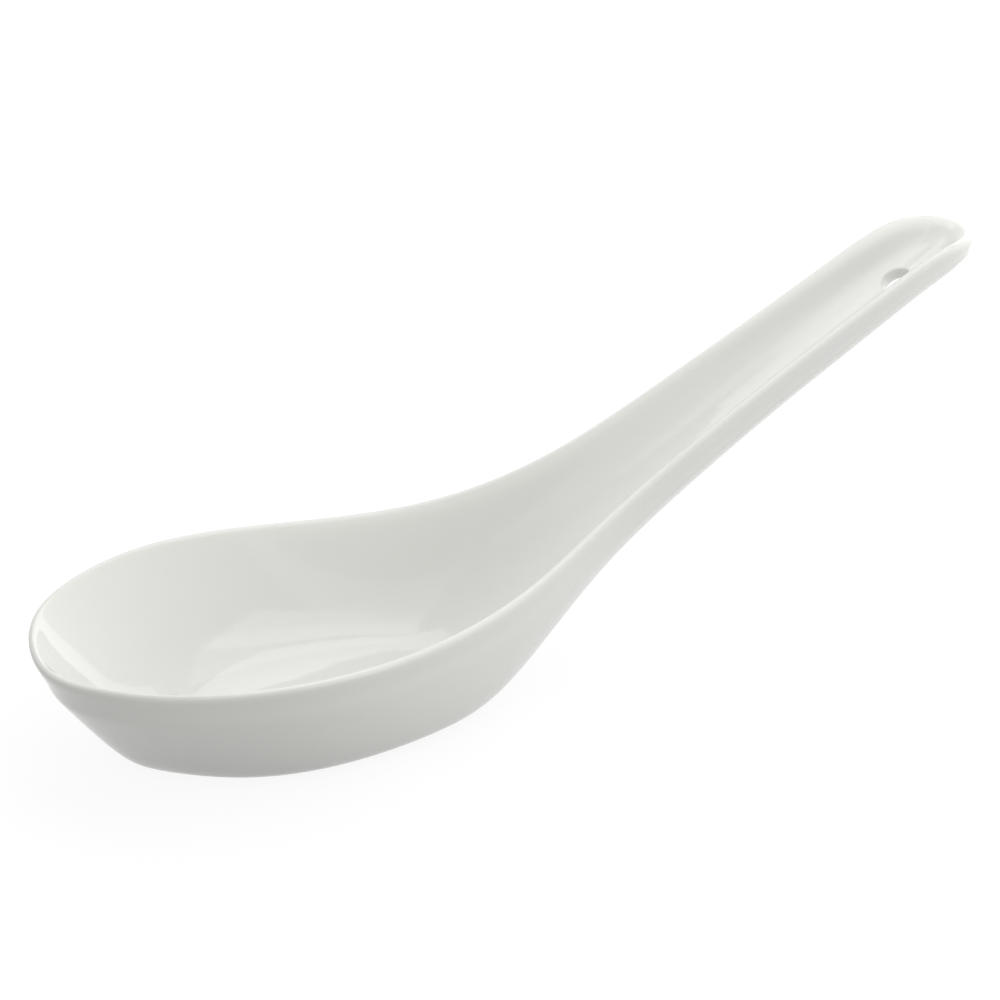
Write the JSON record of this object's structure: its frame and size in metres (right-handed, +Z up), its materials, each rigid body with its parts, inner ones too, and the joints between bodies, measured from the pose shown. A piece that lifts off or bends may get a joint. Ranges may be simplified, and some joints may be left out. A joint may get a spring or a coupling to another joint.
{
  "type": "chinese soup spoon",
  "caption": "Chinese soup spoon of glazed white porcelain, with a deep flat-based bowl, a channelled handle and a hanging hole near its end.",
  "frame": {"origin": "on the table plane under the middle of the spoon's length, midway between its two sides", "axes": "+X from the bowl's tip to the handle's end, +Z up from the table the foot stands on"},
  "size_m": [0.136, 0.0456, 0.0503],
  "materials": {
    "porcelain": "matt fired clay, bare on the foot only",
    "glaze": "glossy white glaze"
  },
  "bodies": {
    "root": {"porcelain_body": "porcelain", "glaze_coat": "glaze"}
  },
  "joints": []
}
